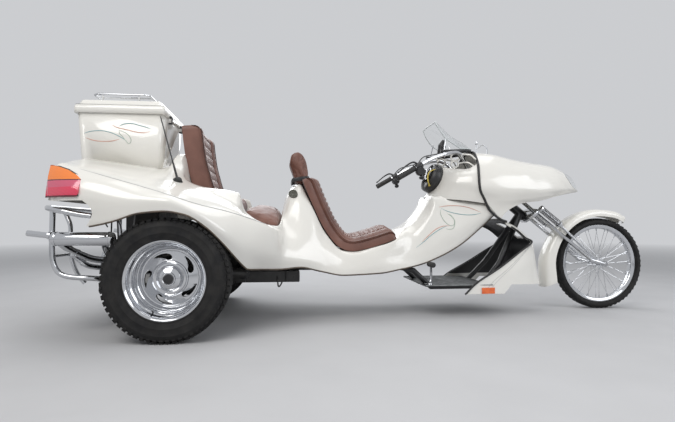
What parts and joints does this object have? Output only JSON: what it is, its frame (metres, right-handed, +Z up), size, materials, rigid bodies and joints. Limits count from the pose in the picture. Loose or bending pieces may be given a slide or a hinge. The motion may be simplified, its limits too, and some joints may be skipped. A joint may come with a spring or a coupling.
{
  "type": "motor trike",
  "caption": "Rear-engined motor trike with a one-piece white body shell, brown stepped seats, a long raked springer fork and a lidded rear trunk.",
  "frame": {"origin": "on the ground, under the middle of the whole length", "axes": "+X forward, +Y to the left side, +Z up"},
  "size_m": [4.0458, 1.7358, 1.4481],
  "materials": {
    "white_gelcoat": "gloss gelcoat on glass fibre",
    "brown_leather": "smooth brown upholstery",
    "chrome": "polished",
    "black_paint": "satin black",
    "black_rubber": "matte",
    "tyre_rubber": "matte",
    "cast_alloy": "as cast",
    "amber_lens": "clear amber",
    "red_lens": "clear red below, amber above",
    "clear_acrylic": "clear",
    "plate_steel": "worn plate"
  },
  "bodies": {
    "chassis": {"body_shell": "white_gelcoat", "driver_seat": "brown_leather", "passenger_seat": "brown_leather", "headrest": "brown_leather", "saddle_pad": "brown_leather", "dash_cowl": "white_gelcoat", "nose_cowl": "white_gelcoat", "cowl_edging": "black_rubber", "gauge_cluster": "black_paint", "windshield": "clear_acrylic", "windshield_frame": "black_paint", "headlamp": "chrome", "headlamp_cover": "clear_acrylic", "nose_stem": "chrome", "reflector_right": "amber_lens", "reflector_left": "amber_lens", "pedal_right": "chrome", "pedal_left": "chrome", "floor_plate": "plate_steel", "leg_shield": "white_gelcoat", "shield_liner": "black_paint", "fan_shroud": "black_paint", "exhaust_right": "chrome", "exhaust_left": "chrome", "bumper": "chrome", "engine": "cast_alloy", "rear_axle": "cast_alloy", "frame": "black_paint", "trunk": "white_gelcoat", "tail_lamp_right": "red_lens", "tail_lamp_left": "red_lens", "antenna": "black_paint"},
    "steering": {"fork": "chrome", "handlebar": "chrome", "spring_leg_right": "chrome", "spring_leg_left": "chrome", "grip_right": "black_rubber", "grip_left": "black_rubber", "front_fender": "white_gelcoat"},
    "front_wheel": {"front_tyre": "tyre_rubber", "front_rim": "chrome"},
    "rear_wheel_right": {"rear_tyre_right": "tyre_rubber", "rear_rim_right": "chrome"},
    "rear_wheel_left": {"rear_tyre_left": "tyre_rubber", "rear_rim_left": "chrome"},
    "trunk_cover": {"trunk_lid": "white_gelcoat", "lid_rack": "chrome"}
  },
  "joints": [
    {"name": "steering_turn", "type": "hinge", "parent": "chassis", "child": "steering", "pos_m": [0.978, 0, 0.788], "axis": [-0.7782, 0, 0.628], "range_deg": [-25, 25]},
    {"name": "front_wheel_spin", "type": "hinge", "parent": "steering", "child": "front_wheel", "pos_m": [1.692, 0, 0.33], "axis": [0, 1, 0], "continuous": true},
    {"name": "rear_wheel_right_spin", "type": "hinge", "parent": "chassis", "child": "rear_wheel_right", "pos_m": [-1.222, -0.7325, 0.325], "axis": [0, 1, 0], "continuous": true},
    {"name": "rear_wheel_left_spin", "type": "hinge", "parent": "chassis", "child": "rear_wheel_left", "pos_m": [-1.222, 0.7325, 0.325], "axis": [0, 1, 0], "continuous": true},
    {"name": "trunk_cover_hinge", "type": "hinge", "parent": "chassis", "child": "trunk_cover", "pos_m": [-1.35, 0, 1.304], "axis": [0, 1, 0], "range_deg": [0, 70]}
  ]
}
